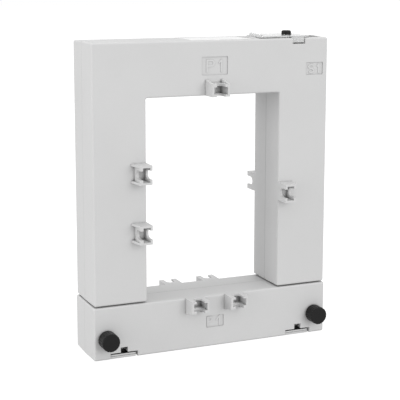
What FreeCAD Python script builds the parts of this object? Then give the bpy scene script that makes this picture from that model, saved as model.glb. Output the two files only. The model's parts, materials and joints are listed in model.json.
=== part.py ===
import FreeCAD, Part
import math
import os

# Split-core current transformer with a busbar window.
# Millimetres, +Z up, X right, front face towards -Y.
# Origin on the resting face, in the middle of the housing, at the moulding seam.

V = FreeCAD.Vector

# limits for picking edges
pick = 0.01
pick_wide = 0.1
pick_lean = 1.0

# housing
draft = math.tan(math.radians(1.5))
wall = 2.2
seam_gap = 0.06
upper_half_width = 71.5
upper_half_depth = 15.8
upper_top = 175.0
pillar_width = 31.5
window_half = upper_half_width - pillar_width
base_top = 30.4
base_overhang = 0.5
base_bulge = 0.2
base_half_width = upper_half_width + base_overhang
base_half_depth = upper_half_depth + base_bulge
joint_gap = 0.35
pillar_floor = 2.0
edge_radius = 1.0
lip_width = 1.0
lip_height = 1.0
lip_clearance = 0.05
rib = 2.0
bite = 0.2
over = 1.0

# screw sockets on the window edge, sized for an M5 nut
nut_across_flats = 8.0
nut_thickness = 4.0
nut_play = 0.15
socket_wall = 1.2
socket_far_wall = 1.6
socket_reach = 9.4
socket_root = 9.0
socket_sink = 0.8
notch_width = 5.0
notch_floor = 2.5
socket_pitch_pillar = 33.0
socket_pitch_base = 24.0

# windings
core_play = 0.25
core_gap = 0.8
bobbin_wall = 1.0
bobbin_flange = 1.2
bobbin_margin = 0.35
bobbin_clearance = 0.7
winding_build = 2.2
winding_play = 0.1
winding_stack = core_play + bobbin_wall + winding_play + winding_build + bobbin_margin

# clamping tongues and thumb screws
tongue_gap = 0.4
tongue_rear_gap = 0.5
tongue_width = 8.3
tongue_right = upper_half_width - wall - tongue_gap
tongue_left = tongue_right - tongue_width
tongue_front = 1.0
tongue_rear = 9.0
tongue_bottom = 5.5
tongue_height = 11.25
tongue_root = base_top + joint_gap + tongue_height
tongue_tip_radius = 1.2
screw_inset = 3.7
screw_x = tongue_left + screw_inset
screw_z = 12.0
screw_travel = 8.1
stud_radius = 2.0
stud_fit = 0.08
stud_groove = 1.55
stud_tip = 0.5
ring_radius = 3.1
ring_thickness = 0.8
ring_fit = 0.05
ring_y = -0.6
insert_radius = 3.2
boss_radius = 4.0
boss_end = 0.6
knob_radius = 5.15
knob_length = 7.5
knob_gap = 0.3
knob_bottom = 2.0
knob_flutes = 20
knob_flute_depth = 0.3
knob_flute_shares = (0.0, 0.6, 0.8)
knob_chamfer = 0.45
knob_play = 0.05

# core
core_leg_inner = window_half + wall + bobbin_clearance + winding_stack
core_build = tongue_left - core_gap - core_leg_inner
core_leg_centre = core_leg_inner + core_build / 2
core_depth = 2 * (upper_half_depth - wall - bobbin_clearance - winding_stack)
core_inner_radius = 1.5
core_outer_radius = 12.0
core_passage = 0.15
pole_gap = 0.1
yoke_gap = 0.4
yoke_top = base_top - wall - yoke_gap

# top bar: terminal chamber over the core
chamber_depth = 12.8
bar_gap = 1.6
bar_height = chamber_depth + bar_gap + core_build + bar_gap + wall
window_top = upper_top - bar_height
core_bar_bottom = window_top + wall + bar_gap
bar_rib_pitch = 24.0

# bobbins between the tongues and the top bar
bobbin_lift = 4.0
bobbin_bottom = tongue_root + bobbin_lift
bobbin_drop = 4.0
bobbin_top = core_bar_bottom - bobbin_drop
seat_margin = 0.1
seat_outer = core_leg_centre + core_build / 2 + winding_stack + seat_margin

# terminals
chamber_gap = 0.3
chamber_length = 37.0
chamber_right = upper_half_width - wall - chamber_gap
chamber_left = chamber_right - chamber_length
chamber_inset = 4.8
chamber_half = upper_half_depth - chamber_inset
chamber_play = 0.3
block_bottom = upper_top - chamber_depth
block_plate = 2.2
block_overlap = 2.0
block_left = chamber_left - block_overlap
block_gap = 0.4
block_right = chamber_right - block_gap
block_side_gap = 1.0
block_half = upper_half_depth - wall - block_side_gap
block_rib_pitch = 10.0
block_wall = 1.2
block_front_wall = 1.6
post_inset = 3.0
post_gap = 1.0
ledge_length = 5.1
ledge_height = 3.0
clamp_inset = 17.6
clamp_left = chamber_right - clamp_inset
clamp_length = 8.2
clamp_width = 6.2
clamp_height = 6.0
clamp_spread = 4.1
clamp_y = chamber_half - clamp_spread
clamp_bore = 1.7
clamp_play = 0.1
clamp_seat = 0.35
entry_play = 0.5
terminal_screw_radius = 1.5
terminal_screw_offset = 0.6
terminal_head_radius = 2.6
terminal_head_height = 1.6
terminal_shank = 2.0
slot_depth = 0.8
slot_width = 0.8
thread_play = 0.03

# leads
lead_radius = 0.9
lead_play = 0.4
lead_exit_y = 4.0
lead_notch = 1.2
lead_rise = 5.0
lead_wall_gap = 2.3
lead_low_rise = 6.4
lead_high_rise = 3.6
riser_gap = 5.1
lead_run_y = upper_half_depth - wall - lead_wall_gap
lead_low_z = core_bar_bottom + lead_low_rise
lead_high_z = block_bottom + lead_high_rise
riser_x = clamp_left - riser_gap
riser_room = 1.7

# clear cover with its latch and screw
wire_slot_length = 8.0
cover_overlap = 3.0
cover_inset = 2.8
cover_right = chamber_right - wire_slot_length
cover_left = chamber_left - cover_overlap
cover_slant = 5.5
cover_half = upper_half_depth - cover_inset
cover_height = 0.8
cover_lift = 0.1
cover_corner = 2.0
cover_chamfer = 0.3
cover_lip_width = 2.4
cover_lip_height = 0.8
cover_lip_bevel = 0.7 * cover_lip_height
cover_step = 1.2
cover_step_wall = 1.2
cover_screw_inset = 8.5
cover_screw_x = cover_right - cover_screw_inset
cover_screw_head = 2.8
cover_screw_height = 3.2
cover_screw_chamfer = 0.6
cover_screw_lift = 0.02
cover_boss_wall = 0.6
cover_boss_gap = 0.05
cover_shank_gap = 2.0
insert_sleeve = 2.15
insert_lift = 1.0
sleeve_play = 0.05
latch_width = 8.0
latch_drop = 3.2
latch_gap = 0.45
latch_thickness = 1.5
latch_play = 0.35
latch_side_play = 0.1
seat_play = 0.35

# rating label
label_gap = 3.0
label_inset = 3.4
label_length = 38.0
label_right = cover_left - label_gap
label_left = label_right - label_length
label_half = upper_half_depth - label_inset
label_recess = 0.7
label_thickness = 0.25
label_play = 0.3
label_lift = 0.02
label_corner = 1.5
finger_notch = 5.0

# leaf springs under the yoke
spring_inset = 7.0
spring_x = window_half - spring_inset
spring_length = 24.0
spring_width = 11.0
spring_thickness = 0.5
spring_rise = 3.0
spring_play = 0.05
spring_rim_x = 1.0
spring_rim_y = 0.5
base_rib_gap = 7.0
base_rib_x = spring_x - spring_length / 2 - base_rib_gap

# feet
foot_slot_width = 16.2
foot_slot_height = 3.3
foot_inset = 17.8
foot_slot_x = base_half_width - foot_inset
foot_pocket_wall = 1.2
foot_width = 15.1
foot_height = 2.5
foot_side_gap = 0.1
foot_setback = 0.9
foot_length = 11.0
foot_hole_radius = 2.25
foot_hook_width = 3.2
foot_hook_back = 2.6
foot_hook_depth = 1.3
foot_hook_rise = 1.2
foot_rest = 2.0
foot_corner = 0.5
foot_line_height = 1.2
foot_line = 0.3
foot_window_width = 4.2
foot_window_top = 6.25
foot_window_depth = 3.0

# marking pads
pad_depth = 0.5
bar_pad_x = 0.3
bar_pad_width = 15.8
bar_pad_height = 10.2
bar_pad_drop = 9.4
side_pad_inset = 3.3
side_pad_width = 11.0
side_pad_height = 7.2
side_pad_drop = 14.3
base_pad_x = 0.7
base_pad_width = 11.0
base_pad_height = 6.9
base_pad_drop = 12.3
pad_corner = 0.7


def box(x0, x1, y0, y1, z0, z1):
    return Part.makeBox(x1 - x0, y1 - y0, z1 - z0, V(x0, y0, z0))


def rod(radius, start, direction, length):
    return Part.makeCylinder(radius, length, start, direction)


def drafted(seam, shrink, depth):
    """Block from the seam plane to the front, each side leaning in by draft times its factor."""
    x0, x1, z0, z1 = seam
    left, right, bottom, top = [draft * depth * factor for factor in shrink]
    return Part.makeWedge(x0 + left, -depth, z0 + bottom, z0, x0, x1 - right, 0, z1 - top, z1, x1)


def moulded_edges(shape, depth):
    """Round the edges that run from the seam to the face and those round the face."""
    running = [e for e in shape.Edges if e.BoundBox.YLength > depth - pick_wide
               and max(e.BoundBox.XLength, e.BoundBox.ZLength) < pick_lean]
    face = [e for e in shape.Edges if e.BoundBox.YMax < -depth + pick]
    return shape.makeFillet(edge_radius, running + face)


def rounded_block(x0, x1, y0, y1, z0, z1, radius):
    block = box(x0, x1, y0, y1, z0, z1)
    upright = [e for e in block.Edges if e.BoundBox.ZLength > (z1 - z0) / 2]
    return block.makeFillet(radius, upright)


def mirror_y(shape):
    return shape.mirror(V(0, 0, 0), V(0, 1, 0))


def mirror_x(shape):
    return shape.mirror(V(0, 0, 0), V(1, 0, 0))


def screw_socket():
    """Nut pocket in its own frame: X away from the window, Y along its edge, Z off the face."""
    half_width = (nut_across_flats + nut_play) / 2 + socket_wall
    pocket = nut_thickness + nut_play
    near = socket_wall
    far = near + pocket
    end = far + socket_far_wall
    side = Part.Face(Part.makePolygon([
        V(0, 0, -socket_sink), V(0, 0, socket_reach), V(end, 0, socket_reach),
        V(socket_root, 0, 0), V(socket_root, 0, -socket_sink), V(0, 0, -socket_sink)]))
    socket = box(0, near, -half_width, half_width, -socket_sink, socket_reach)
    socket = socket.fuse(box(far, end, -half_width, half_width, -socket_sink, socket_reach))
    for y in (-half_width, half_width - socket_wall):
        flank = side.extrude(V(0, socket_wall, 0))
        flank.translate(V(0, y, 0))
        socket = socket.fuse(flank)
    radius = notch_width / 2
    notch = rod(radius, V(-over, 0, notch_floor + radius), V(1, 0, 0), socket_root + 2 * over)
    notch = notch.fuse(box(-over, socket_root + over, -radius, radius, notch_floor + radius,
                           socket_reach + over))
    return socket.removeSplitter().cut(notch)


def placed_socket(point, inward):
    """Socket on the front face with its window side at point, running along inward."""
    outward = V(0, -1, 0)
    along = outward.cross(inward)
    frame = FreeCAD.Matrix(
        inward.x, along.x, outward.x, point.x,
        inward.y, along.y, outward.y, point.y,
        inward.z, along.z, outward.z, point.z,
        0, 0, 0, 1)
    socket = screw_socket()
    socket.Placement = FreeCAD.Placement(frame)
    return socket


def pad(middle, width, top, height, face_y):
    """Shallow sunk pad for a terminal mark."""
    left = middle - width / 2
    plate = rounded_block(left, left + width, top - height, top, 0, pad_depth + over, pad_corner)
    plate.rotate(V(0, 0, 0), V(1, 0, 0), 90)
    plate.translate(V(0, face_y + pad_depth, 0))
    return plate


def upper_section(grow, depth):
    """Room inside the upper housing, widened by grow on every side."""
    inset = wall - grow
    bottom = base_top + joint_gap
    outer = (-upper_half_width + inset, upper_half_width - inset, bottom + pillar_floor - grow,
             upper_top - inset)
    room = drafted(outer, (1, 1, 0, 1), depth)
    keep = (-window_half - inset, window_half + inset, bottom - over, window_top + inset)
    return room.cut(drafted(keep, (-1, -1, 0, -1), depth))


def core_opening(bottom, top):
    """Passage for both legs of the core."""
    half = core_build / 2 + core_play + core_passage
    deep = core_depth / 2 + core_play + core_passage
    passage = box(core_leg_centre - half, core_leg_centre + half, -deep, deep, bottom, top)
    return passage.fuse(mirror_x(passage))


def comb_rib(x, bottom, top, depth, room):
    """Moulded cross rib with a gap that holds the core."""
    plate = box(x - rib / 2, x + rib / 2, -depth, 0, bottom, top)
    return plate.cut(room)


def upper_half():
    """Front half of the upper housing without its own details."""
    bottom = base_top + joint_gap
    depth = upper_half_depth - seam_gap
    block = drafted((-upper_half_width, upper_half_width, bottom, upper_top), (1, 1, 0, 1), depth)
    opening = drafted((-window_half, window_half, bottom - over, window_top), (-1, -1, 0, -1), depth)
    shell = moulded_edges(block.cut(opening), depth)
    inner = depth - wall
    shell = shell.cut(upper_section(0, inner))

    bar_room = box(-upper_half_width, upper_half_width, -core_depth / 2 - core_play, over,
                   core_bar_bottom - core_play, core_bar_bottom + core_build + core_play)
    reach = lead_radius + lead_play
    for z in (lead_low_z, lead_high_z):
        bar_room = bar_room.fuse(box(-upper_half_width, upper_half_width, -lead_run_y - reach,
                                     -core_depth / 2, z - reach, z + reach))
    bar_low = window_top + wall - 2 * bite
    bar_high = upper_top - wall + 2 * bite
    for place in (-1.5, -0.5, 0.5):
        shell = shell.fuse(comb_rib(place * bar_rib_pitch, bar_low, bar_high, inner + 2 * bite, bar_room))
    for place in (0, 1):
        x = chamber_left + rib / 2 + place * block_rib_pitch
        shell = shell.fuse(comb_rib(x, bar_low, block_bottom, inner + 2 * bite, bar_room))
    ledge = box(block_right - ledge_length, upper_half_width - wall + bite, -inner - 2 * bite, -rib / 2,
                block_bottom - ledge_height, block_bottom)
    shell = shell.fuse(ledge)

    leg_room = core_opening(bottom - over, core_bar_bottom)
    seat = box(window_half + wall - 3 * bite, seat_outer, -inner - 2 * bite, 0, bobbin_bottom - rib,
               bobbin_bottom)
    seat = seat.cut(leg_room)
    shell = shell.fuse(seat).fuse(mirror_x(seat))
    shell = shell.cut(core_opening(bottom - over, bottom + pillar_floor + over))

    face_y = -depth
    edge = window_half + draft * depth
    middle = (base_top + window_top) / 2
    shell = shell.fuse(placed_socket(V(0, face_y, window_top + draft * depth), V(0, 0, 1)))
    shell = shell.fuse(placed_socket(V(edge, face_y, middle), V(1, 0, 0)))
    for offset in (-socket_pitch_pillar / 2, socket_pitch_pillar / 2):
        shell = shell.fuse(placed_socket(V(-edge, face_y, middle + offset), V(-1, 0, 0)))

    shell = shell.cut(box(label_left - label_play, label_right + label_play, -label_half - label_play, over,
                          upper_top - label_recess, upper_top + over))
    shell = shell.cut(box(chamber_left, chamber_right, -chamber_half, over, upper_top - wall - over,
                          upper_top + over))
    shell.translate(V(0, -seam_gap, 0))
    return shell


def upper_front_shell():
    shell = upper_half()
    rebate = upper_section(lip_width + lip_clearance, lip_height + lip_clearance)
    shell = shell.cut(rebate)
    face_y = -upper_half_depth
    shell = shell.cut(pad(bar_pad_x, bar_pad_width, upper_top - bar_pad_drop, bar_pad_height, face_y))
    shell = shell.cut(pad(upper_half_width - side_pad_inset - side_pad_width / 2, side_pad_width,
                          upper_top - side_pad_drop, side_pad_height, face_y))
    half = latch_width / 2
    notch = box(cover_screw_x - half, cover_screw_x + half, face_y - over, face_y + wall + 2 * bite,
                upper_top - latch_drop - 2 * bite, upper_top + over)
    scoop_x = (label_left + label_right) / 2 - finger_notch
    scoop = rod(finger_notch / 2, V(scoop_x, -label_half, upper_top - label_recess), V(0, 0, 1), over)
    return shell.cut(notch).cut(scoop)


def tongue(side):
    """Tongue that reaches down into the base and holds the threaded insert."""
    inner = upper_half_depth - wall + 2 * bite
    bottom = base_top + joint_gap
    body = box(tongue_left, tongue_right, tongue_front, tongue_rear, tongue_bottom, tongue_root)
    body = body.fuse(box(tongue_left, upper_half_width - wall + bite, tongue_front, inner, bottom + bite,
                         tongue_root))
    tip = [e for e in body.Edges if e.BoundBox.ZMax < tongue_bottom + pick]
    body = body.makeFillet(tongue_tip_radius, tip)
    body = body.cut(rod(insert_radius, V(screw_x, 0, screw_z), V(0, 1, 0), tongue_rear + over))
    if side < 0:
        body = mirror_x(body)
    return body


def upper_rear_shell():
    """Rear half with the lip that enters the front half, and the tongues."""
    shell = mirror_y(upper_half())
    lip = upper_section(lip_width, lip_height).cut(upper_section(0, lip_height))
    lip = lip.fuse(mirror_y(lip))
    lip = lip.cut(box(chamber_left, chamber_right, -upper_half_depth, upper_half_depth, upper_top - 2 * wall,
                      upper_top + over))
    shell = shell.fuse(lip)
    for side in (-1, 1):
        shell = shell.fuse(tongue(side))
    return shell.cut(core_opening(base_top - over, base_top + joint_gap + pillar_floor + over))


def base_half():
    """Front half of the base without its own details."""
    depth = base_half_depth - seam_gap
    block = drafted((-base_half_width, base_half_width, 0, base_top), (1, 1, 0, 1), depth)
    shell = moulded_edges(block, depth)
    inner = depth - wall
    room = (-base_half_width + wall, base_half_width - wall, wall, base_top - wall)
    shell = shell.cut(drafted(room, (1, 1, 0, 1), inner))

    yoke_bottom = yoke_top - core_build
    yoke_room = box(-base_half_width, base_half_width, -core_depth / 2 - core_play, over,
                    yoke_bottom - core_play * 2, base_top)
    for x in (-base_rib_x, base_rib_x):
        shell = shell.fuse(comb_rib(x, wall - bite, base_top - wall - 2 * bite, inner + bite, yoke_room))
    pedestal = box(spring_x - spring_length / 2 - spring_rim_x, spring_x + spring_length / 2 + spring_rim_x,
                   -spring_width / 2 - spring_rim_y, 0, wall - bite, yoke_bottom - spring_rise)
    shell = shell.fuse(pedestal).fuse(mirror_x(pedestal))
    shell = shell.cut(core_opening(base_top - wall - over, base_top + over))

    for side in (-1, 1):
        x = side * foot_slot_x
        half = foot_slot_width / 2
        back = foot_length - inner
        pocket = box(x - half - foot_pocket_wall, x + half + foot_pocket_wall, -inner - bite, back,
                     wall - bite, foot_slot_height + foot_pocket_wall)
        shell = shell.fuse(pocket)
        slot = box(x - half, x + half, -depth - over, back - foot_pocket_wall, -over, foot_slot_height)
        shell = shell.cut(slot)
        half = foot_window_width / 2
        window = box(x - half, x + half, -depth - over, foot_window_depth - inner, foot_slot_height - bite,
                     foot_window_top)
        shell = shell.cut(window)

    edge = base_top - draft * depth
    for offset in (-socket_pitch_base / 2, socket_pitch_base / 2):
        shell = shell.fuse(placed_socket(V(offset, -depth, edge), V(0, 0, -1)))
    shell.translate(V(0, -seam_gap, 0))
    return shell


def base_front_shell():
    """Front half of the base with the bosses that guide both thumb screws."""
    shell = base_half()
    face_y = -base_half_depth
    shell = shell.cut(pad(base_pad_x, base_pad_width, base_top - base_pad_drop, base_pad_height, face_y))
    boss_start = face_y + wall - bite
    shoulder = ring_y - ring_thickness / 2 - screw_travel
    for side in (-1, 1):
        x = side * screw_x
        boss = rod(boss_radius, V(x, boss_start, screw_z), V(0, 1, 0), boss_end - boss_start)
        shell = shell.fuse(boss)
        shell = shell.cut(rod(stud_radius + stud_fit, V(x, face_y - over, screw_z), V(0, 1, 0),
                              2 * base_half_depth))
        shell = shell.cut(rod(ring_radius + ring_fit * 3, V(x, shoulder, screw_z), V(0, 1, 0),
                              boss_end - shoulder + over))
    return shell


def base_rear_shell():
    shell = mirror_y(base_half())
    opening = box(core_leg_centre, tongue_right + tongue_gap, 0, tongue_rear + tongue_rear_gap,
                  base_top - wall - over, base_top + over)
    return shell.cut(opening).cut(mirror_x(opening))


def core_u():
    """Wound strip core, cut to a U with both legs ending in pole faces."""
    outer_half = core_leg_centre + core_build / 2
    inner_half = core_leg_centre - core_build / 2
    bottom = yoke_top + pole_gap
    top = core_bar_bottom + core_build
    half = core_depth / 2
    solid = box(-outer_half, outer_half, -half, half, bottom, top)
    corners = [e for e in solid.Edges if e.BoundBox.YLength > half and e.BoundBox.ZMin > top - pick]
    solid = solid.makeFillet(core_outer_radius, corners)
    space = box(-inner_half, inner_half, -half - over, half + over, bottom - over, core_bar_bottom)
    corners = [e for e in space.Edges if e.BoundBox.YLength > half
               and e.BoundBox.ZMin > core_bar_bottom - pick]
    return solid.cut(space.makeFillet(core_inner_radius, corners))


def core_yoke():
    outer_half = core_leg_centre + core_build / 2
    half = core_depth / 2
    return box(-outer_half, outer_half, -half, half, yoke_top - core_build, yoke_top)


def ring_block(inner_x, inner_y, build, corner, bottom, top):
    """Upright rectangular tube round the right leg of the core."""
    x = core_leg_centre
    outer = rounded_block(x - inner_x - build, x + inner_x + build, -inner_y - build, inner_y + build,
                          bottom, top, corner)
    return outer.cut(box(x - inner_x, x + inner_x, -inner_y, inner_y, bottom - over, top + over))


def bobbin():
    """Former with a flange at each end, the upper one notched for the leads."""
    tube_x = core_build / 2 + core_play
    tube_y = core_depth / 2 + core_play
    reach = winding_stack - core_play
    spool = ring_block(tube_x, tube_y, bobbin_wall, bobbin_wall, bobbin_bottom, bobbin_top)
    spool = spool.fuse(ring_block(tube_x, tube_y, reach, reach, bobbin_bottom, bobbin_bottom + bobbin_flange))
    spool = spool.fuse(ring_block(tube_x, tube_y, reach, reach, bobbin_top - bobbin_flange, bobbin_top))
    exit_x = core_leg_centre + tube_x + bobbin_wall + winding_build / 2
    for y in (-lead_exit_y, lead_exit_y):
        notch = box(exit_x - lead_notch, exit_x + reach, y - lead_notch, y + lead_notch,
                    bobbin_top - bobbin_flange - over, bobbin_top + over)
        spool = spool.cut(notch)
    return spool


def winding():
    tube_x = core_build / 2 + core_play + bobbin_wall + winding_play
    tube_y = core_depth / 2 + core_play + bobbin_wall + winding_play
    bottom = bobbin_bottom + bobbin_flange + winding_play
    top = bobbin_top - bobbin_flange - winding_play
    return ring_block(tube_x, tube_y, winding_build, winding_build, bottom, top)


def lead(points):
    """Insulated lead along straight runs with tight corners."""
    path = Part.makePolygon(points)
    direction = (points[1] - points[0]).normalize()
    profile = Part.Wire(Part.makeCircle(lead_radius, points[0], direction))
    return path.makePipeShell([profile], True, False, 1)


def leads():
    """Both ends of each winding: one lead to each clamp and a link between the windings."""
    run_y = lead_run_y
    x = core_leg_centre + core_build / 2 + core_play + bobbin_wall + winding_play + winding_build / 2
    z = bobbin_top - bobbin_flange - winding_play / 2
    rise = bobbin_top + lead_rise
    clamp_z = block_bottom + block_plate + clamp_seat + clamp_height / 2
    end_x = clamp_left - clamp_play / 2
    made = {}
    made["lead_link"] = lead([
        V(x, -lead_exit_y, z), V(x, -lead_exit_y, rise), V(x, -run_y, rise), V(x, -run_y, lead_low_z),
        V(-x, -run_y, lead_low_z), V(-x, -run_y, rise), V(-x, -lead_exit_y, rise), V(-x, -lead_exit_y, z)])
    made["lead_s1"] = lead([
        V(-x, lead_exit_y, z), V(-x, lead_exit_y, lead_high_z), V(-x, -run_y, lead_high_z),
        V(riser_x, -run_y, lead_high_z), V(riser_x, -clamp_y, lead_high_z), V(riser_x, -clamp_y, clamp_z),
        V(end_x, -clamp_y, clamp_z)])
    made["lead_s2"] = lead([
        V(x, lead_exit_y, z), V(x, lead_exit_y, rise), V(x, run_y, rise), V(x, run_y, lead_low_z),
        V(riser_x, run_y, lead_low_z), V(riser_x, run_y, clamp_z), V(riser_x, clamp_y, clamp_z),
        V(end_x, clamp_y, clamp_z)])
    return made


def leaf_spring():
    """Arched leaf on its pedestal, its crown under the yoke."""
    foot_z = yoke_top - core_build - spring_rise + spring_play
    crown_z = yoke_top - core_build - spring_play
    half = spring_length / 2
    lower = Part.Arc(V(-half, 0, foot_z), V(0, 0, crown_z - spring_thickness), V(half, 0, foot_z)).toShape()
    upper = Part.Arc(V(half, 0, foot_z + spring_thickness), V(0, 0, crown_z),
                     V(-half, 0, foot_z + spring_thickness)).toShape()
    ends = [Part.makeLine(V(half, 0, foot_z), V(half, 0, foot_z + spring_thickness)),
            Part.makeLine(V(-half, 0, foot_z + spring_thickness), V(-half, 0, foot_z))]
    leaf = Part.Face(Part.Wire([lower, ends[0], upper, ends[1]])).extrude(V(0, spring_width, 0))
    leaf.translate(V(spring_x, -spring_width / 2, 0))
    return leaf


def mounting_foot():
    """Clip-in foot of the front right corner, with its fixing hole and hook."""
    x0 = foot_slot_x - foot_slot_width / 2 + foot_side_gap
    y0 = foot_setback - base_half_depth
    y1 = wall + foot_length - foot_pocket_wall - 3 * foot_side_gap - base_half_depth
    plate = box(x0, x0 + foot_width, y0, y1, 0, foot_height)
    upright = [e for e in plate.Edges if e.BoundBox.ZLength > foot_height / 2]
    plate = plate.makeFillet(foot_corner, upright)
    line = box(x0 - over, x0 + foot_width + over, y0 - over, y0 + foot_line, foot_line_height,
               foot_line_height + foot_line)
    plate = plate.cut(line)
    hook_y = y0 + foot_hook_back
    hook = box(foot_slot_x - foot_hook_width / 2, foot_slot_x + foot_hook_width / 2, hook_y,
               hook_y + foot_hook_depth, foot_height - bite, foot_height + foot_hook_rise)
    rest = box(x0 + foot_pocket_wall, x0 + foot_width - foot_pocket_wall, y1 - foot_rest, y1,
               foot_height - bite, foot_slot_height - foot_side_gap)
    plate = plate.fuse(hook).fuse(rest)
    hole_y = (hook_y + foot_hook_depth + y1 - foot_rest) / 2
    return plate.cut(rod(foot_hole_radius, V(foot_slot_x, hole_y, -over), V(0, 0, 1),
                         foot_slot_height + 2 * over))


def terminal_block():
    """Moulded block with a pocket for each clamp and a post that rests against the top."""
    floor = block_bottom + block_plate
    top = floor + clamp_height + block_wall
    wall_y = chamber_half - chamber_play
    block = box(block_left, block_right, -block_half, block_half, block_bottom, floor)
    body = box(clamp_left - block_front_wall, clamp_left + clamp_length + block_side_gap, -wall_y, wall_y,
               floor - bite, top)
    post_y = chamber_half - post_inset
    post = box(chamber_left + rib, chamber_left + 2 * rib, -post_y, post_y, floor - bite,
               upper_top - wall - post_gap)
    block = block.fuse(body).fuse(post)
    for side in (-1, 1):
        middle = side * clamp_y
        half = clamp_width / 2 + clamp_play
        pocket = box(clamp_left - clamp_play, clamp_left + clamp_length + clamp_play, middle - half,
                     middle + half, floor + clamp_seat - clamp_play / 2, top + over)
        entry = rod(clamp_bore + entry_play, V(riser_x, middle, floor + clamp_height / 2 + clamp_seat),
                    V(1, 0, 0), block_right - riser_x)
        edge = side * (block_half + over)
        inside = side * (clamp_y - riser_room)
        riser = box(riser_x - riser_room, riser_x + riser_room, min(edge, inside), max(edge, inside),
                    block_bottom - over, floor + over)
        block = block.cut(pocket).cut(entry).cut(riser)
    return block.cut(rod(insert_sleeve + sleeve_play, V(cover_screw_x, 0, floor + insert_lift), V(0, 0, 1),
                         chamber_depth))


def terminal_clamp(side):
    """Box clamp with a bore for the wire and a thread for its screw."""
    floor = block_bottom + block_plate + clamp_seat
    middle = side * clamp_y
    centre = floor + clamp_height / 2
    body = box(clamp_left, clamp_left + clamp_length, middle - clamp_width / 2, middle + clamp_width / 2,
               floor, floor + clamp_height)
    body = body.cut(rod(clamp_bore, V(clamp_left + terminal_screw_radius, middle, centre), V(1, 0, 0),
                        clamp_length))
    return body.cut(rod(terminal_screw_radius + thread_play,
                        V(clamp_left + clamp_length / 2 + terminal_screw_offset, middle, centre), V(0, 0, 1),
                        clamp_height))


def terminal_screw(side):
    """Slotted cheese-head screw in its clamp."""
    clamp_top = block_bottom + block_plate + clamp_seat + clamp_height
    x = clamp_left + clamp_length / 2 + terminal_screw_offset
    y = side * clamp_y
    head = clamp_top + clamp_play
    head_top = head + terminal_head_height
    screw = rod(terminal_screw_radius, V(x, y, clamp_top - terminal_shank), V(0, 0, 1),
                terminal_shank + terminal_head_height / 2)
    screw = screw.fuse(rod(terminal_head_radius, V(x, y, head), V(0, 0, 1), terminal_head_height))
    return screw.cut(box(x - terminal_head_radius - over, x + terminal_head_radius + over, y - slot_width / 2,
                         y + slot_width / 2, head_top - slot_depth, head_top + over))


def cover_insert():
    floor = block_bottom + block_plate + insert_lift + sleeve_play
    sleeve = rod(insert_sleeve, V(cover_screw_x, 0, floor), V(0, 0, 1), clamp_height - clamp_play)
    return sleeve.cut(rod(terminal_screw_radius + thread_play, V(cover_screw_x, 0, floor - over), V(0, 0, 1),
                          chamber_depth))


def terminal_cover():
    """Clear cover: slanted finger lip, locating step, latch in the front face, sunk seat for its screw."""
    bottom = upper_top + cover_lift
    top = bottom + cover_height
    slanted = [
        V(cover_left, -cover_half, bottom), V(cover_right, -cover_half, bottom),
        V(cover_right, cover_half, bottom), V(cover_left + cover_slant, cover_half, bottom),
        V(cover_left, -cover_half, bottom)]
    plate = Part.Face(Part.makePolygon(slanted)).extrude(V(0, 0, cover_height))
    corners = [e for e in plate.Edges if e.BoundBox.ZLength > cover_height / 2]
    plate = plate.makeFillet(cover_corner, corners)
    rim = [e for e in plate.Edges if e.BoundBox.ZMin > top - pick]
    plate = plate.makeChamfer(cover_chamfer, rim)
    front_y = cover_corner / 2 - cover_half
    lean = cover_slant / (2 * cover_half) * (cover_corner / 2)
    front_x = cover_left + cover_chamfer + lean
    rear_x = cover_left + cover_chamfer + cover_slant - lean
    lip = Part.Face(Part.makePolygon([
        V(front_x, front_y, top - bite), V(front_x + cover_lip_width, front_y, top - bite),
        V(rear_x + cover_lip_width, -front_y, top - bite), V(rear_x, -front_y, top - bite),
        V(front_x, front_y, top - bite)])).extrude(V(0, 0, cover_lip_height + bite))
    crest_z = top + cover_lip_height - pick
    crest = [e for e in lip.Edges if e.BoundBox.ZMin > crest_z and e.BoundBox.YLength > cover_half]
    plate = plate.fuse(lip.makeChamfer(cover_lip_bevel, crest))
    wall_y = chamber_half - chamber_play
    step = box(chamber_left + chamber_play, cover_right - cover_corner, -wall_y, wall_y, bottom - cover_step,
               bottom + bite)
    inner_y = wall_y - cover_step_wall
    hollow = box(chamber_left + chamber_play + cover_step_wall, cover_right - cover_corner - cover_step_wall,
                 -inner_y, inner_y, bottom - cover_step - over, bottom + bite / 2)
    plate = plate.fuse(step.cut(hollow))
    boss_bottom = block_bottom + block_plate + clamp_height + block_wall + cover_boss_gap
    plate = plate.fuse(rod(cover_screw_head + cover_boss_wall, V(cover_screw_x, 0, boss_bottom), V(0, 0, 1),
                           bottom - boss_bottom + bite))
    face_y = bite - upper_half_depth
    left = cover_screw_x - latch_width / 2 + latch_side_play
    right = cover_screw_x + latch_width / 2 - latch_gap
    latch = box(left, right, face_y, face_y + latch_thickness, upper_top - latch_drop + latch_play,
                top - bite)
    bridge = box(left, right, face_y, latch_thickness - cover_half, bottom, top - bite)
    plate = plate.fuse(latch).fuse(bridge)
    plate = plate.cut(rod(cover_screw_head + seat_play, V(cover_screw_x, 0, upper_top), V(0, 0, 1), wall))
    return plate.cut(rod(terminal_screw_radius + bite, V(cover_screw_x, 0, boss_bottom - over), V(0, 0, 1),
                         chamber_depth))


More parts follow.
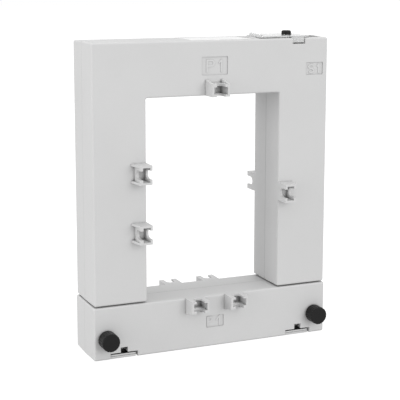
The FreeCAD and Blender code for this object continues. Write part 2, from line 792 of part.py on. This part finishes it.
def cover_screw():
    """Cheese-head screw with a bevelled rim and a slot."""
    seat = upper_top + cover_screw_lift
    top = seat + cover_screw_height
    head = rod(cover_screw_head, V(cover_screw_x, 0, seat), V(0, 0, 1), cover_screw_height)
    rim = [e for e in head.Edges if e.BoundBox.ZMin > top - pick]
    head = head.makeChamfer(cover_screw_chamfer, rim)
    reach = cover_screw_head + over
    head = head.cut(box(cover_screw_x - reach, cover_screw_x + reach, -slot_width / 2, slot_width / 2,
                        top - slot_depth, top + over))
    shank_bottom = block_bottom + block_plate + cover_shank_gap
    return head.fuse(rod(terminal_screw_radius, V(cover_screw_x, 0, shank_bottom), V(0, 0, 1),
                         seat - shank_bottom + bite / 2))


def rating_label():
    bottom = upper_top - label_recess + label_lift
    return rounded_block(label_left, label_right, -label_half, label_half, bottom, bottom + label_thickness,
                         label_corner)


def knob():
    """Fluted thumb knob of the right screw, blind bore for the stud."""
    start = -base_half_depth - knob_gap
    end = start - knob_length
    radii = (knob_radius, knob_radius, knob_radius - knob_flute_depth)
    grip = []
    for index in range(knob_flutes):
        for share, radius in zip(knob_flute_shares, radii):
            angle = 2 * math.pi * (index + share) / knob_flutes
            grip.append(V(radius * math.cos(angle), start, radius * math.sin(angle)))
    grip.append(grip[0])
    body = Part.Face(Part.makePolygon(grip)).extrude(V(0, -knob_length, 0))
    profile = [
        V(0, start, 0), V(knob_radius - knob_chamfer, start, 0),
        V(knob_radius + bite, start - knob_chamfer - bite, 0),
        V(knob_radius + bite, end + knob_chamfer + bite, 0),
        V(knob_radius - knob_chamfer, end, 0), V(0, end, 0), V(0, start, 0)]
    body = body.common(Part.Face(Part.makePolygon(profile)).revolve(V(0, 0, 0), V(0, 1, 0), 360))
    body = body.cut(rod(stud_radius + stud_fit / 4, V(0, end + knob_bottom, 0), V(0, 1, 0), knob_length))
    body.translate(V(screw_x, 0, screw_z))
    return body


def stud():
    """Stud with a groove for its retaining ring, its end in the insert of the tongue."""
    start = -base_half_depth - knob_gap - knob_length + knob_bottom + knob_play
    shank = rod(stud_radius, V(screw_x, start, screw_z), V(0, 1, 0), tongue_rear - start)
    tip = [e for e in shank.Edges if e.BoundBox.YMin > tongue_rear - pick]
    shank = shank.makeChamfer(stud_tip, tip)
    groove_width = ring_thickness + 2 * ring_fit
    groove = rod(stud_radius + over, V(screw_x, ring_y - groove_width / 2, screw_z), V(0, 1, 0), groove_width)
    core = rod(stud_groove, V(screw_x, ring_y - groove_width, screw_z), V(0, 1, 0), 2 * groove_width)
    return shank.cut(groove.cut(core))


def retaining_ring():
    start = ring_y - ring_thickness / 2
    ring = rod(ring_radius, V(screw_x, start, screw_z), V(0, 1, 0), ring_thickness)
    return ring.cut(rod(stud_groove + ring_fit, V(screw_x, start - over, screw_z), V(0, 1, 0),
                        ring_thickness + 2 * over))


def thread_insert():
    length = tongue_rear - tongue_front - 2 * bite
    sleeve = rod(insert_radius - stud_fit / 4, V(screw_x, tongue_front + bite, screw_z), V(0, 1, 0), length)
    return sleeve.cut(rod(stud_radius + stud_fit, V(screw_x, 0, screw_z), V(0, 1, 0), tongue_rear + over))


def all_nodes():
    nodes = {
        "upper_front_shell": upper_front_shell(),
        "upper_rear_shell": upper_rear_shell(),
        "base_front_shell": base_front_shell(),
        "base_rear_shell": base_rear_shell(),
        "core_u": core_u(),
        "core_yoke": core_yoke(),
        "terminal_block": terminal_block(),
        "terminal_cover": terminal_cover(),
        "cover_insert": cover_insert(),
        "cover_screw": cover_screw(),
        "rating_label": rating_label(),
    }
    nodes.update(leads())
    for name, side in (("s1", -1), ("s2", 1)):
        nodes["terminal_clamp_" + name] = terminal_clamp(side)
        nodes["terminal_screw_" + name] = terminal_screw(side)
    pairs = {
        "bobbin": bobbin(),
        "winding": winding(),
        "leaf_spring": leaf_spring(),
        "knob": knob(),
        "stud": stud(),
        "retaining_ring": retaining_ring(),
        "thread_insert": thread_insert(),
    }
    for name, shape in pairs.items():
        nodes[name + "_right"] = shape
        nodes[name + "_left"] = mirror_x(shape)
    foot = mounting_foot()
    shift = V(-2 * foot_slot_x, 0, 0)
    nodes["foot_front_right"] = foot
    nodes["foot_front_left"] = foot.copy()
    nodes["foot_front_left"].translate(shift)
    rear = foot.copy()
    rear.rotate(V(0, 0, 0), V(0, 0, 1), 180)
    nodes["foot_rear_left"] = rear
    nodes["foot_rear_right"] = rear.copy()
    nodes["foot_rear_right"].translate(V(2 * foot_slot_x, 0, 0))
    return nodes


os.makedirs("parts", exist_ok=True)
for node, shape in sorted(all_nodes().items()):
    assert len(shape.Solids) == 1, node
    shape.Solids[0].exportStep("parts/" + node + ".step")
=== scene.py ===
import json
import math

import bpy
import bmesh
from mathutils import Matrix, Vector


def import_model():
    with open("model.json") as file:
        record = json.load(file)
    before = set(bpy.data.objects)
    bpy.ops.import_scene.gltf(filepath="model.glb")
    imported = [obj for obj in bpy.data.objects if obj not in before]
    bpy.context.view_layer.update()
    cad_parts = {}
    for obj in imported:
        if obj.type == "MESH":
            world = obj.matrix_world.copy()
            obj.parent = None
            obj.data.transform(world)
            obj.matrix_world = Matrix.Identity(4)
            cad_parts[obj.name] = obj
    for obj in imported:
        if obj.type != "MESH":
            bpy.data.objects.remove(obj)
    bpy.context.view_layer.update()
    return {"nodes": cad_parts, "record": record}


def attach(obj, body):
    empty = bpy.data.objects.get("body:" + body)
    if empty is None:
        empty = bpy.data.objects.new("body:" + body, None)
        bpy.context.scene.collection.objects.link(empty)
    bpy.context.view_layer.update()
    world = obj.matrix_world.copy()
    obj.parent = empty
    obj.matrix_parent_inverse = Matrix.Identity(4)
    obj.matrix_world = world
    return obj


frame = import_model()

MM = 0.001


# materials

# a ramp this steep, per metre, goes from 0 to 1 within a tenth of a millimetre
CRISP = 10000.0
# the painted shade line along the seam fades out a quarter of a millimetre to each side
SEAM_FADE = 4000.0
SEAM_SHADE = 0.7
# the seam's painted shade line is drawn inside these limits, a little past the window's sides and top
WINDOW_SIDE = 41.2 * MM
WINDOW_TOP = 147.0 * MM
# a little below the top of the feet's plates; above it the feet get painted shade
FOOT_PLATE_TOP = 2.4 * MM
# colour of the painted shade in the depth of a crevice
PAINTED_CREVICE_SHADE = (0.004, 0.004, 0.004)
# how far the painted crevice shade reaches at an edge and in a deep hollow
EDGE_REACH = 1.2 * MM
HOLLOW_REACH = 4.0 * MM


class Value:
    """A number or colour inside a material, with ordinary arithmetic."""

    def __init__(self, made_by, socket):
        self.made_by = made_by
        self.socket = socket

    def math(self, operation, *values):
        return self.made_by.node("ShaderNodeMath", {"operation": operation}, dict(enumerate(values)))

    def __add__(self, other):
        return self.math("ADD", self, other)

    def __radd__(self, other):
        return self.math("ADD", other, self)

    def __sub__(self, other):
        return self.math("SUBTRACT", self, other)

    def __rsub__(self, other):
        return self.math("SUBTRACT", other, self)

    def __mul__(self, other):
        return self.math("MULTIPLY", self, other)

    def __rmul__(self, other):
        return self.math("MULTIPLY", other, self)


class Finish:
    """One node material on a Principled shader."""

    def __init__(self, name, **constants):
        self.block = bpy.data.materials.new(name)
        self.block.use_nodes = True
        self.tree = self.block.node_tree
        self.shader = self.tree.nodes["Principled BSDF"]
        for socket, value in constants.items():
            self.put(self.shader.inputs[socket.replace("_", " ")], value)

    def put(self, socket, value):
        if isinstance(value, Value):
            self.tree.links.new(value.socket, socket)
        elif isinstance(value, tuple) and len(value) == 3 and socket.type == "RGBA":
            socket.default_value = (*value, 1.0)
        else:
            socket.default_value = value

    def node(self, kind, settings=None, inputs=None, output=0):
        made = self.tree.nodes.new(kind)
        for name, value in (settings or {}).items():
            setattr(made, name, value)
        for name, value in (inputs or {}).items():
            self.put(made.inputs[name], value)
        return Value(self, made.outputs[output])

    def place(self):
        return self.node("ShaderNodeTexCoord", output="Object")

    def axis(self, name):
        return self.node("ShaderNodeSeparateXYZ", inputs={0: self.place()}, output=name)

    def noise(self, size, detail=2.0, stretch=(1.0, 1.0, 1.0)):
        """Noise whose features are about size metres across, from 0 to 1."""
        scale = tuple(part / size for part in stretch)
        spot = self.node("ShaderNodeVectorMath", {"operation": "MULTIPLY"}, {0: self.place(), 1: scale})
        return self.node("ShaderNodeTexNoise", inputs={"Vector": spot, "Scale": 1.0, "Detail": detail})

    def wave(self, along, pitch):
        """Sine from 0 to 1 that repeats every pitch metres along an axis."""
        turn = self.axis(along) * (2 * math.pi / pitch)
        return turn.math("SINE", turn) * 0.5 + 0.5

    def blend(self, factor, first, second):
        made = self.tree.nodes.new("ShaderNodeMix")
        made.data_type = "RGBA"
        self.put(made.inputs[0], factor)
        self.put(made.inputs[6], first)
        self.put(made.inputs[7], second)
        return Value(self, made.outputs[2])

    def openness(self, reach, alone):
        """1 on open faces, falling to 0 deep in grooves narrower than reach metres.

        With alone, the other pieces cast no shade.
        """
        settings = {"samples": 8, "only_local": alone}
        return self.node("ShaderNodeAmbientOcclusion", settings, {"Distance": reach}, output="AO")

    def clamped(self, value):
        return self.node("ShaderNodeClamp", inputs={0: value})

    def size_of(self, value):
        return value.math("ABSOLUTE", value)

    def set(self, socket, value):
        self.put(self.shader.inputs[socket], value)

    def bump(self, height, depth):
        """Height from 0 to 1 stands for depth metres."""
        relief = self.node("ShaderNodeBump", inputs={"Height": height, "Strength": 1.0, "Distance": depth},
                           output="Normal")
        self.set("Normal", relief)


def painted_pocket_shade(made):
    """Painted shade: dark above the foot's plate, where it stands inside the base."""
    return made.clamped((FOOT_PLATE_TOP - made.axis("Z")) * CRISP)


def painted_seam_shade(made):
    """Painted shade: a soft dark line along the moulding seam, drawn only round the window."""
    off_seam = made.clamped(made.size_of(made.axis("Y")) * SEAM_FADE)
    beside = made.clamped((made.size_of(made.axis("X")) - WINDOW_SIDE) * CRISP)
    above = made.clamped((made.axis("Z") - WINDOW_TOP) * CRISP)
    return SEAM_SHADE + (1.0 - SEAM_SHADE) * made.clamped(off_seam + beside + above)


def moulded(name, dark, light, roughness, grain=0.00022, depth=0.000012, shade=None, **constants):
    """Moulded plastic: slow colour drift, fine speckle, a spark-eroded grain, and painted shade that darkens
    its crevices and hollows.
    """
    made = Finish(name, **constants)
    drift = made.noise(0.045, 3.0)
    speckle = made.noise(0.0006, 2.0)
    surface = made.blend(drift * 0.75 + speckle * 0.25, dark, light)
    # painted shade: the base colour is darkened towards near-black at edges, in crevices and in deep
    # hollows, where shade falls
    edges = made.openness(EDGE_REACH, False) * 0.4 + 0.6
    lit = edges * made.clamped((made.openness(HOLLOW_REACH, True) - 0.1) * 3.0)
    # a piece's own painted shade, if it has one, darkens the colour further
    if shade:
        lit = lit * shade(made)
    made.set("Base Color", made.blend(lit, PAINTED_CREVICE_SHADE, surface))
    made.set("Roughness", roughness - 0.05 + made.noise(0.012) * 0.1)
    made.bump(made.noise(grain, 3.0), depth)
    return made.block


def metal(name, dark, light, roughness, stretch=(1.0, 1.0, 1.0), size=0.0004):
    """Machined metal with fine tool marks drawn out along stretch."""
    made = Finish(name, Metallic=1.0)
    marks = made.noise(size, 3.0, stretch)
    made.set("Base Color", made.blend(marks, dark, light))
    made.set("Roughness", roughness - 0.08 + marks * 0.16)
    made.bump(marks, 0.000006)
    return made.block


def threaded(name, pitch):
    """Zinc-plated steel with thread crests along Y and painted shade in the roots between them."""
    made = Finish(name, Metallic=1.0)
    crest = made.wave("Y", pitch)
    # painted shade: the thread roots are coloured much darker than the crests
    made.set("Base Color", made.blend(crest, (0.22, 0.22, 0.21), (0.62, 0.61, 0.58)))
    made.set("Roughness", 0.24 + made.noise(0.0008) * 0.2)
    made.bump(crest, 0.00018)
    return made.block


def laminated(name):
    """Wound strip core: thin dark joints between bright layers, seen on its sides."""
    made = Finish(name, Metallic=0.85)
    layers = made.wave("X", 0.0003) * made.wave("Z", 0.0003)
    made.set("Base Color", made.blend(layers, (0.16, 0.17, 0.18), (0.36, 0.38, 0.40)))
    made.set("Roughness", 0.4 + made.noise(0.002) * 0.2)
    made.bump(layers, 0.00002)
    return made.block


def wound(name, pitch):
    """Layer of enamelled wire, its turns lying along the bobbin, with painted shade in the grooves between
    turns.
    """
    made = Finish(name, Metallic=0.6, Coat_Weight=0.6, Coat_Roughness=0.15)
    turns = made.wave("Z", pitch)
    # painted shade: the grooves between turns are coloured darker than the turns' crests
    made.set("Base Color", made.blend(turns, (0.20, 0.06, 0.02), (0.62, 0.25, 0.09)))
    made.set("Roughness", 0.25 + made.noise(0.003) * 0.15)
    made.bump(turns, 0.00015)
    return made.block


def clear(name):
    """Clear moulded cover with faint flow lines."""
    made = Finish(name, IOR=1.5, Transmission_Weight=0.4)
    flow = made.noise(0.02, 2.0, (1.0, 4.0, 1.0))
    made.set("Base Color", made.blend(flow, (0.80, 0.81, 0.81), (0.88, 0.88, 0.88)))
    made.set("Roughness", 0.1 + flow * 0.08)
    made.bump(made.noise(0.004), 0.00001)
    return made.block


def printed_film(name):
    """Satin label film with paper-like mottling."""
    made = Finish(name, Coat_Weight=0.25, Coat_Roughness=0.3)
    mottle = made.noise(0.0012, 4.0)
    made.set("Base Color", made.blend(mottle, (0.78, 0.78, 0.78), (0.85, 0.85, 0.85)))
    made.set("Roughness", 0.42 + mottle * 0.14)
    made.bump(mottle, 0.000008)
    return made.block


PALE_DARK = (0.575, 0.575, 0.575)
PALE_LIGHT = (0.655, 0.655, 0.655)
THREAD_PITCH = 0.7 * MM
WIRE_PITCH = 0.5 * MM

finishes = {
    # the housing gets a painted shade line along its seam inside the window
    "housing": moulded("housing_plastic", PALE_DARK, PALE_LIGHT, 0.52, shade=painted_seam_shade,
                       Specular_IOR_Level=0.3),
    # the feet get painted shade above their plates, inside the base's pocket
    "foot": moulded("foot_plastic", PALE_DARK, PALE_LIGHT, 0.52, shade=painted_pocket_shade, Specular_IOR_Level=0.3),
    "knob": moulded("knob_plastic", (0.006, 0.006, 0.006), (0.012, 0.012, 0.012), 0.4, 0.0004, 0.00003,
                    Specular_IOR_Level=0.22),
    "steel": threaded("zinc_plated_steel", THREAD_PITCH),
    "spring_steel": metal("spring_steel", (0.35, 0.36, 0.38), (0.55, 0.56, 0.57), 0.3, (0.1, 1.0, 1.0)),
    "brass": metal("brass", (0.60, 0.42, 0.16), (0.82, 0.62, 0.28), 0.3),
    "terminal_steel": metal("terminal_metal", (0.50, 0.50, 0.48), (0.74, 0.73, 0.70), 0.32),
    "core_steel": laminated("wound_core_steel"),
    "bobbin": moulded("bobbin_plastic", (0.11, 0.11, 0.12), (0.15, 0.15, 0.16), 0.45),
    "copper": wound("enamelled_wire", WIRE_PITCH),
    "lead": moulded("lead_insulation", (0.50, 0.07, 0.05), (0.60, 0.09, 0.07), 0.4, 0.0012, 0.00001),
    "block": moulded("terminal_block_plastic", (0.56, 0.57, 0.57), (0.66, 0.66, 0.66), 0.45),
    "clear": clear("clear_plastic"),
    "cover_screw": moulded("blackened_screw", (0.008, 0.008, 0.008), (0.018, 0.018, 0.018), 0.4,
                           0.0005, 0.00002, Specular_IOR_Level=0.16),
    "label": printed_film("label_film"),
}

slots = {part["node"]: part["material_slot"] for part in frame["record"]["subparts"]
         if "material_slot" in part}
for node, piece in frame["nodes"].items():
    finish = finishes["foot" if node.startswith("foot_") else slots[node]]
    for holder in piece.material_slots:
        holder.material = finish


# raised terminal marks on the sunk pads, in millimetres like the CAD

STROKE = 1.1
RAISE = 0.32
DRAFT = 0.07
# depth by which a stroke is let into the pad, so that no gap shows under it
SUNK = 0.03
# the second stroke of a mark is a little lower, so that crossing crests don't coincide
CREST_STEP = 0.02
ARC_STEPS = 14

# floors of the sunk pads on the upper housing and on the base, along Y
UPPER_PAD = -15.3
BASE_PAD = -15.5

# each character: which one, its left, right, bottom and top, and the floor that it stands on
MARKS = (
    ("P", -4.8, 0.5, 156.9, 164.1, UPPER_PAD),
    ("1", 2.3, 5.0, 156.9, 164.1, UPPER_PAD),
    ("S", 58.6, 62.9, 154.3, 159.8, UPPER_PAD),
    ("1", 64.0, 66.2, 154.3, 159.8, UPPER_PAD),
    ("P", -4.2, -0.4, 11.7, 17.7, BASE_PAD),
    ("1", 1.0, 4.3, 11.7, 17.7, BASE_PAD),
)


def arc(middle_x, middle_z, reach_x, reach_z, first, last):
    """Points of an elliptic arc between two angles in degrees."""
    angles = [math.radians(first + (last - first) * step / ARC_STEPS) for step in range(ARC_STEPS + 1)]
    return [(middle_x + reach_x * math.cos(angle), middle_z + reach_z * math.sin(angle)) for angle in angles]


def strokes(letter, left, right, bottom, top):
    """Centre lines of a capital or figure that fills a box on the pad."""
    half = STROKE / 2
    middle = (bottom + top) / 2
    if letter == "P":
        bowl = (top - half - middle) / 2
        round_end = arc(right - half - bowl, middle + bowl, bowl, bowl, 90, -90)
        return [[(left + half, bottom), (left + half, top)],
                [(left + half, top - half), *round_end, (left + half, middle)]]
    if letter == "S":
        reach = (right - left) / 2 - half
        bowl = (top - bottom) / 4 - half / 2
        centre = (left + right) / 2
        upper = arc(centre, middle + bowl, reach, bowl, 25, 270)
        lower = arc(centre, middle - bowl, reach, bowl, 90, -155)
        return [upper + lower[1:]]
    flag_drop = right - left - STROKE
    return [[(right - half, bottom), (right - half, top)],
            [(right - half, top - half), (left + half, top - half - flag_drop)]]


def raised_stroke(bm, line, pad_floor, crest):
    """Stroke along a centre line, drafted so that it is narrower at its crest."""
    rows = []
    for place, spot in enumerate(line):
        before = line[max(place - 1, 0)]
        after = line[min(place + 1, len(line) - 1)]
        along = Vector((after[0] - before[0], after[1] - before[1])).normalized()
        foot = STROKE / 2
        sunk = pad_floor + SUNK
        sides = ((-foot, sunk), (DRAFT - foot, crest), (foot - DRAFT, crest), (foot, sunk))
        row = []
        for side, y in sides:
            row.append(bm.verts.new(Vector((spot[0] - along.y * side, y, spot[1] + along.x * side)) * MM))
        rows.append(row)
    for first, second in zip(rows, rows[1:]):
        for corner in range(4):
            after = (corner + 1) % 4
            bm.faces.new((first[corner], second[corner], second[after], first[after]))
    bm.faces.new(rows[0])
    bm.faces.new(rows[-1][::-1])


def terminal_marks():
    """P1 on the top bar and on the base, S1 beside the terminals."""
    bm = bmesh.new()
    for letter, left, right, bottom, top, pad_floor in MARKS:
        for count, line in enumerate(strokes(letter, left, right, bottom, top)):
            raised_stroke(bm, line, pad_floor, pad_floor - RAISE + CREST_STEP * count)
    bmesh.ops.recalc_face_normals(bm, faces=bm.faces)
    merged = bpy.data.meshes.new("terminal_marks")
    bm.to_mesh(merged)
    bm.free()
    merged.materials.append(finishes["housing"])
    piece = bpy.data.objects.new("terminal_marks", merged)
    bpy.context.scene.collection.objects.link(piece)
    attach(piece, "housing")


terminal_marks()


# stage, light and camera

# lamps point at the middle of the part
AIM = (0, 0, 90 * MM)
FLOOR_REACH = 6.0
# the floor lies this far under the feet, so that it never shares their faces
FLOOR_GAP = 0.2 * MM


def area_light(name, place, size, power):
    """Round lamp that points at the middle of the part."""
    data = bpy.data.lights.new(name, "AREA")
    data.shape = "DISK"
    data.size = size
    data.energy = power
    lamp = bpy.data.objects.new(name, data)
    lamp.location = place
    lamp.rotation_euler = (Vector(AIM) - Vector(place)).to_track_quat("-Z", "Y").to_euler()
    bpy.context.scene.collection.objects.link(lamp)


def floor():
    """Large white floor that keeps only soft contact shade."""
    mesh = bpy.data.meshes.new("floor")
    reach = FLOOR_REACH
    corners = [(-reach, -reach, 0), (reach, -reach, 0), (reach, reach, 0), (-reach, reach, 0)]
    mesh.from_pydata(corners, [], [(0, 1, 2, 3)])
    piece = bpy.data.objects.new("floor", mesh)
    piece.location.z = -FLOOR_GAP
    bpy.context.scene.collection.objects.link(piece)
    made = Finish("floor_white", Roughness=1.0, Specular_IOR_Level=0.0, Base_Color=(0.3, 0.3, 0.3),
                  Emission_Color=(1.0, 1.0, 1.0), Emission_Strength=0.37)
    nodes = made.tree.nodes
    links = made.tree.links
    glow = nodes.new("ShaderNodeEmission")
    glow.inputs["Strength"].default_value = 0.5
    brighter = nodes.new("ShaderNodeAddShader")
    links.new(made.shader.outputs[0], brighter.inputs[0])
    links.new(glow.outputs[0], brighter.inputs[1])
    mix = nodes.new("ShaderNodeMixShader")
    links.new(nodes.new("ShaderNodeLightPath").outputs["Is Camera Ray"], mix.inputs[0])
    links.new(made.shader.outputs[0], mix.inputs[1])
    links.new(brighter.outputs[0], mix.inputs[2])
    links.new(mix.outputs[0], nodes["Material Output"].inputs["Surface"])
    mesh.materials.append(made.block)


def world():
    """White surroundings: full white to the eye and in reflections, dimmer as a light."""
    made = bpy.data.worlds.new("studio")
    made.use_nodes = True
    nodes = made.node_tree.nodes
    links = made.node_tree.links
    path = nodes.new("ShaderNodeLightPath")
    seen = path.outputs["Is Camera Ray"]
    for kind in ("Is Glossy Ray", "Is Transmission Ray"):
        either = nodes.new("ShaderNodeMath")
        either.operation = "MAXIMUM"
        links.new(seen, either.inputs[0])
        links.new(path.outputs[kind], either.inputs[1])
        seen = either.outputs[0]
    dim = nodes["Background"]
    dim.inputs["Color"].default_value = (1, 1, 1, 1)
    dim.inputs["Strength"].default_value = 0.86
    bright = nodes.new("ShaderNodeBackground")
    bright.inputs["Color"].default_value = (1, 1, 1, 1)
    bright.inputs["Strength"].default_value = 1.0
    mix = nodes.new("ShaderNodeMixShader")
    links.new(seen, mix.inputs[0])
    links.new(dim.outputs[0], mix.inputs[1])
    links.new(bright.outputs[0], mix.inputs[2])
    links.new(mix.outputs[0], nodes["World Output"].inputs["Surface"])
    bpy.context.scene.world = made


def camera():
    """Camera to the left of the front, a little above the part, its picture shifted a little."""
    turn = math.radians(-23.308)
    rise = math.radians(9.42)
    roll = math.radians(0.064)
    distance = 659.73 * MM
    back = Vector((math.sin(turn) * math.cos(rise), -math.cos(turn) * math.cos(rise), math.sin(rise)))
    right = (-back).cross(Vector((0, 0, 1))).normalized()
    up = right.cross(-back)
    place = Vector(AIM) + back * distance + right * (-1.627 * MM) + up * (15.267 * MM)
    data = bpy.data.cameras.new("camera")
    data.sensor_width = 36.0
    data.lens = 103.493
    data.shift_y = -0.10
    data.clip_start = 0.01
    eye = bpy.data.objects.new("camera", data)
    rolled_right = right * math.cos(roll) + up * math.sin(roll)
    rolled_up = up * math.cos(roll) - right * math.sin(roll)
    axes = Matrix((rolled_right, rolled_up, back)).transposed().to_4x4()
    eye.matrix_world = Matrix.Translation(place) @ axes
    bpy.context.scene.collection.objects.link(eye)
    bpy.context.scene.camera = eye


camera()
floor()
world()
area_light("left", (-2.0, -0.1, 0.45), 1.0, 12)
area_light("front", (0.6, -2.0, 0.7), 1.2, 12)
area_light("top", (0.0, 0.0, 2.0), 0.6, 5)
bpy.context.scene.view_settings.view_transform = "Standard"
